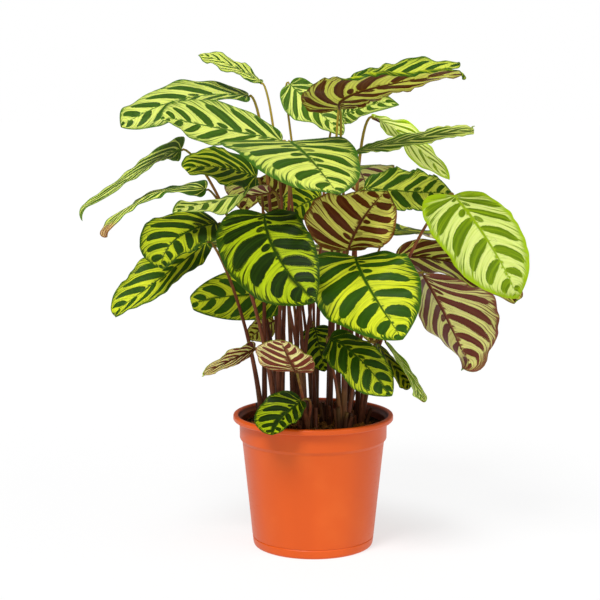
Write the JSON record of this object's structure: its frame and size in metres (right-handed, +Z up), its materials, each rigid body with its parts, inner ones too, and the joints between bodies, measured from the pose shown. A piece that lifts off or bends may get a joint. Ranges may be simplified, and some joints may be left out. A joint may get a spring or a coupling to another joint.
{
  "type": "potted calathea",
  "caption": "Potted calathea: broad patterned leaves, dark green on yellow-green with maroon undersides, on long reddish stalks in a terracotta plastic pot.",
  "frame": {"origin": "centre of the flat disc under the pot, on the surface that the pot stands on", "axes": "+Z up along the pot's axis, -Y towards the picture's camera, +X to its right"},
  "size_m": [0.5309, 0.4194, 0.5833],
  "materials": {
    "pot_plastic": "satin moulded terracotta-coloured plastic",
    "soil": "crumbly moist potting soil with bark and fibres",
    "stalk": "smooth reddish-brown stalk, olive near the blade",
    "leaf": "satin leaf, dark green ovals on yellow-green above, maroon ovals on pale green below",
    "leaf_pale": "satin pale leaf, green ovals on cream-green above"
  },
  "bodies": {
    "root": {"pot": "pot_plastic", "soil": "soil", "stalks_front_left": "stalk", "stalks_front": "stalk", "stalks_front_right": "stalk", "stalks_left": "stalk", "stalks_middle_left": "stalk", "stalks_middle_right": "stalk", "stalks_right": "stalk", "stalks_back_left": "stalk", "stalks_back": "stalk", "stalks_back_right": "stalk", "blade_top_left": "leaf_pale", "blade_high_left": "leaf", "blade_high_left_front": "leaf", "blade_long_left": "leaf", "blade_striped_left": "leaf", "blade_long_left_low": "leaf", "blade_narrow_left": "leaf", "blade_folded_left": "leaf", "blade_low_left": "leaf", "blade_inner_low_left": "leaf", "blade_thin_low_left": "leaf", "blade_inner_low_turned": "leaf", "blade_rim_front": "leaf", "blade_small_front": "leaf", "blade_inner_low": "leaf", "blade_centre_front": "leaf", "blade_centre_right": "leaf", "blade_centre_turned": "leaf", "blade_inner_centre": "leaf", "blade_inner_left_turned": "leaf", "blade_crown_front": "leaf_pale", "blade_crown_back": "leaf", "blade_crown_back_right": "leaf", "blade_top_right": "leaf", "blade_top_right_turned": "leaf", "blade_dark_right": "leaf", "blade_pale_right": "leaf_pale", "blade_mid_right": "leaf", "blade_big_right": "leaf_pale", "blade_right_turned": "leaf", "blade_hanging_right": "leaf", "blade_low_right": "leaf", "blade_low_right_inner": "leaf", "blade_narrow_low_right": "leaf", "blade_back_left": "leaf", "blade_back_right": "leaf", "blade_back_centre": "leaf", "blade_back_side_right": "leaf", "blade_back_side_left": "leaf", "blade_back_low": "leaf"}
  },
  "joints": []
}
